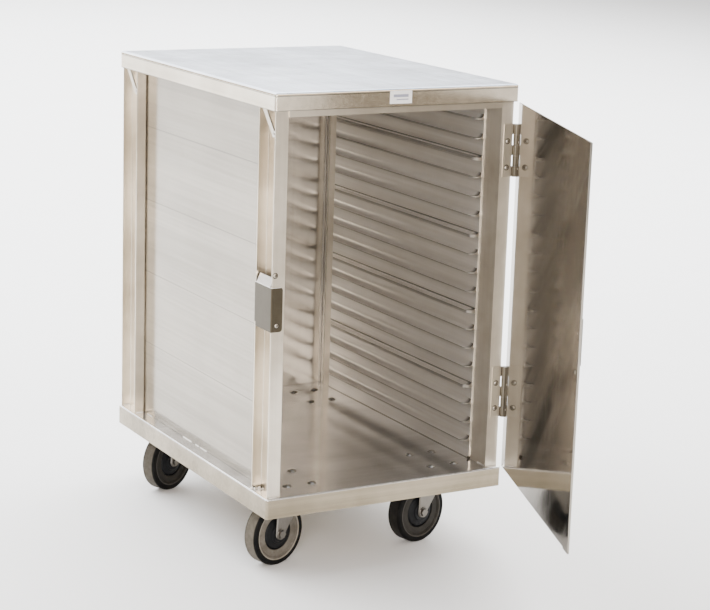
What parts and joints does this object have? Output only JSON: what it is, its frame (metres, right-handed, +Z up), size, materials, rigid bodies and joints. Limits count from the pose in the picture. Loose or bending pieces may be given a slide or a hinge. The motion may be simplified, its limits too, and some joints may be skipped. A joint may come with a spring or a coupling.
{
  "type": "insulated food carrier",
  "caption": "Upright tray cabinet on casters with ledged side walls, a folded cover over a pan base and a swinging front door.",
  "frame": {"origin": "on the floor, under the middle of the whole part's footprint with the door open at rest", "axes": "+X towards the hinged side, +Y from the open front to the back, +Z up"},
  "size_m": [0.5278, 1.1898, 0.924],
  "materials": {
    "sheet_aluminium": "bright mill finish",
    "frame_aluminium": "satin, ground at the welds",
    "wall_aluminium": "fine lines along the extrusion",
    "hinge_steel": "satin",
    "stainless": "brushed",
    "rivet_metal": "dull",
    "zinc_steel": "zinc plated",
    "wheel_plastic": "moulded",
    "tread_rubber": "matt",
    "label": "satin"
  },
  "bodies": {
    "cabinet": {"base_pan": "frame_aluminium", "caster_bolts": "zinc_steel", "caster_channels": "zinc_steel", "caster_kingpins": "zinc_steel", "caster_plate_front_left": "zinc_steel", "caster_plate_front_right": "zinc_steel", "caster_plate_rear_left": "zinc_steel", "caster_plate_rear_right": "zinc_steel", "catch_bracket": "stainless", "frame_rivets": "rivet_metal", "header_front": "frame_aluminium", "header_rear": "frame_aluminium", "hinge_lower_post_leaf": "hinge_steel", "hinge_pins": "hinge_steel", "hinge_upper_post_leaf": "hinge_steel", "label_plate": "label", "post_braces": "frame_aluminium", "post_front_left": "frame_aluminium", "post_front_right": "frame_aluminium", "post_rear_left": "frame_aluminium", "post_rear_right": "frame_aluminium", "rear_panel": "sheet_aluminium", "side_wall_left_1": "wall_aluminium", "side_wall_left_2": "wall_aluminium", "side_wall_left_3": "wall_aluminium", "side_wall_left_4": "wall_aluminium", "side_wall_left_5": "wall_aluminium", "side_wall_right_1": "wall_aluminium", "side_wall_right_2": "wall_aluminium", "side_wall_right_3": "wall_aluminium", "side_wall_right_4": "wall_aluminium", "side_wall_right_5": "wall_aluminium", "top_cover": "sheet_aluminium"},
    "door": {"door_magnet": "stainless", "door_panel": "sheet_aluminium", "door_pull": "stainless", "door_rivets": "rivet_metal", "hinge_lower_door_leaf": "hinge_steel", "hinge_upper_door_leaf": "hinge_steel"},
    "swivel_front_left": {"caster_yoke_front_left": "zinc_steel", "caster_axle_front_left": "zinc_steel"},
    "wheel_front_left": {"tyre_front_left": "tread_rubber", "wheel_core_front_left": "wheel_plastic", "wheel_bearing_front_left": "zinc_steel"},
    "swivel_front_right": {"caster_yoke_front_right": "zinc_steel", "caster_axle_front_right": "zinc_steel"},
    "wheel_front_right": {"tyre_front_right": "tread_rubber", "wheel_core_front_right": "wheel_plastic", "wheel_bearing_front_right": "zinc_steel"},
    "swivel_rear_left": {"caster_yoke_rear_left": "zinc_steel", "caster_axle_rear_left": "zinc_steel"},
    "wheel_rear_left": {"tyre_rear_left": "tread_rubber", "wheel_core_rear_left": "wheel_plastic", "wheel_bearing_rear_left": "zinc_steel"},
    "swivel_rear_right": {"caster_yoke_rear_right": "zinc_steel", "caster_axle_rear_right": "zinc_steel"},
    "wheel_rear_right": {"tyre_rear_right": "tread_rubber", "wheel_core_rear_right": "wheel_plastic", "wheel_bearing_rear_right": "zinc_steel"}
  },
  "joints": [
    {"name": "door_hinge", "type": "hinge", "parent": "cabinet", "child": "door", "pos_m": [0.25866, -0.10933, 0.525], "axis": [0, 0, 1], "range_deg": [-70, 190]},
    {"name": "swivel_front_left_turn", "type": "hinge", "parent": "cabinet", "child": "swivel_front_left", "pos_m": [-0.16214, -0.01213, 0.145], "axis": [0, 0, 1], "continuous": true},
    {"name": "wheel_front_left_roll", "type": "hinge", "parent": "swivel_front_left", "child": "wheel_front_left", "pos_m": [-0.19963, -0.02288, 0.0635], "axis": [0.2756, -0.9613, 0], "continuous": true},
    {"name": "swivel_front_right_turn", "type": "hinge", "parent": "cabinet", "child": "swivel_front_right", "pos_m": [0.15886, -0.01213, 0.145], "axis": [0, 0, 1], "continuous": true},
    {"name": "wheel_front_right_roll", "type": "hinge", "parent": "swivel_front_right", "child": "wheel_front_right", "pos_m": [0.12094, -0.02123, 0.0635], "axis": [0.2334, -0.9724, 0], "continuous": true},
    {"name": "swivel_rear_left_turn", "type": "hinge", "parent": "cabinet", "child": "swivel_rear_left", "pos_m": [-0.16214, 0.49487, 0.145], "axis": [0, 0, 1], "continuous": true},
    {"name": "wheel_rear_left_roll", "type": "hinge", "parent": "swivel_rear_left", "child": "wheel_rear_left", "pos_m": [-0.19777, 0.47901, 0.0635], "axis": [0.4067, -0.9135, 0], "continuous": true},
    {"name": "swivel_rear_right_turn", "type": "hinge", "parent": "cabinet", "child": "swivel_rear_right", "pos_m": [0.15886, 0.49487, 0.145], "axis": [0, 0, 1], "continuous": true},
    {"name": "wheel_rear_right_roll", "type": "hinge", "parent": "swivel_rear_right", "child": "wheel_rear_right", "pos_m": [0.12024, 0.48944, 0.0635], "axis": [0.1392, -0.9903, 0], "continuous": true}
  ]
}
